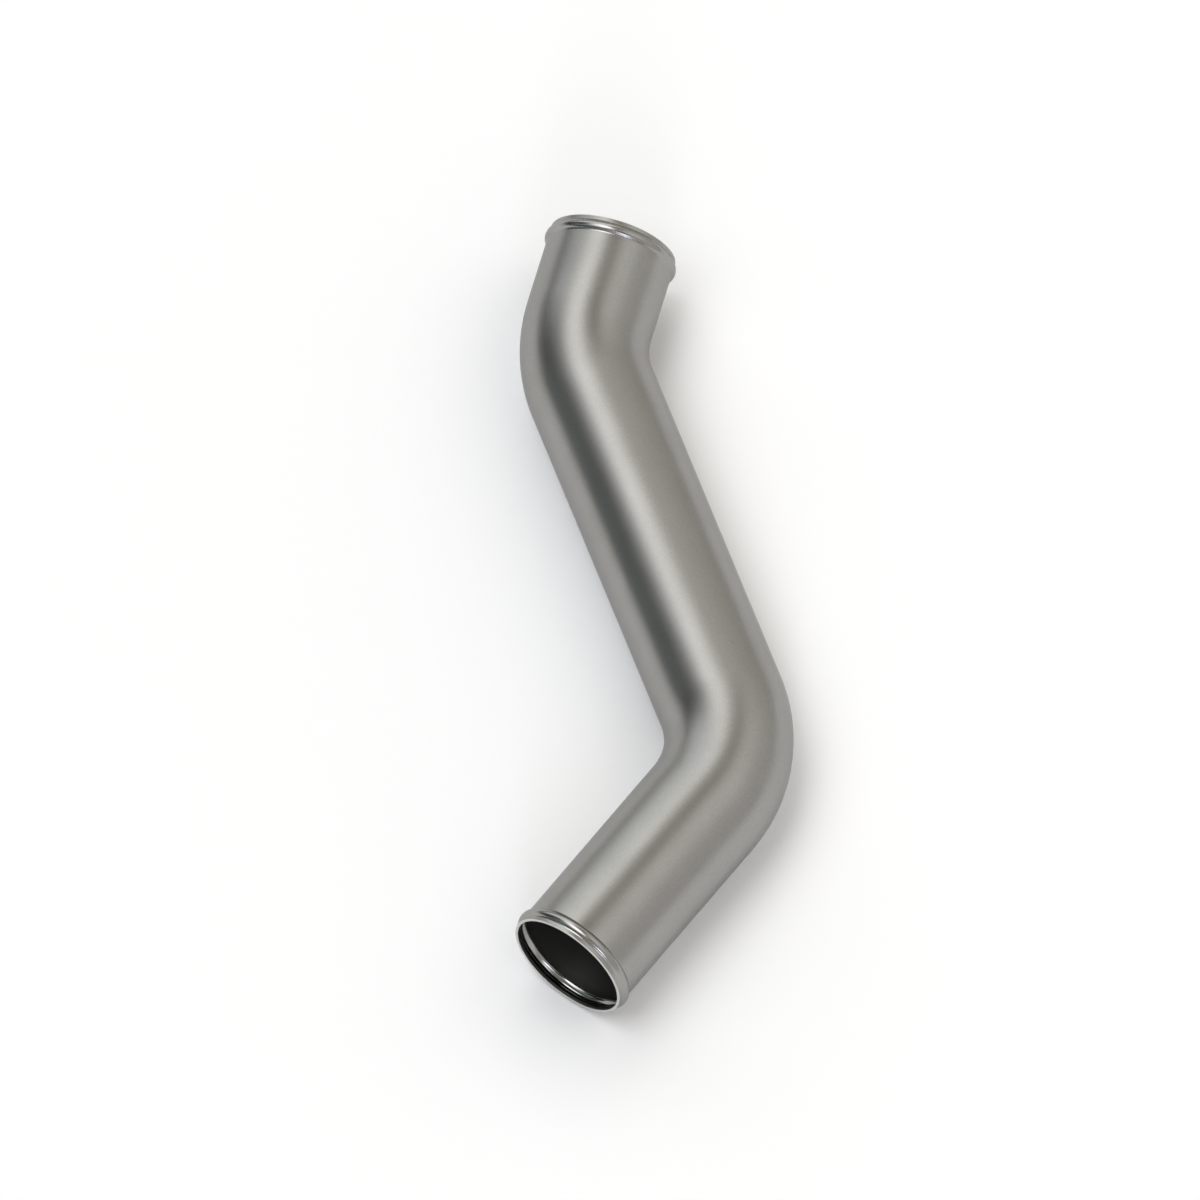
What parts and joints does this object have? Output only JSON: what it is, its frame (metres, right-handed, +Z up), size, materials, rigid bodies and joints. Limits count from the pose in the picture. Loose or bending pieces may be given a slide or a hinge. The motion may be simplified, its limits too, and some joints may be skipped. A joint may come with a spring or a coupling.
{
  "type": "charge air cooler pipe",
  "caption": "Bent round stainless steel tube that carries charge air to or from its cooler, with a rolled hose bead near each end.",
  "frame": {"origin": "on the surface that the pipe lies on, below the middle of its bounding box", "axes": "+X along the middle leg, from the long leg to the short one; +Z up; the long leg's mouth is on the +Y side"},
  "size_m": [0.662, 0.3228, 0.1112],
  "materials": {
    "stainless_steel": "satin 2B mill finish, as rolled, annealed and pickled"
  },
  "bodies": {
    "root": {"pipe": "stainless_steel"}
  },
  "joints": []
}
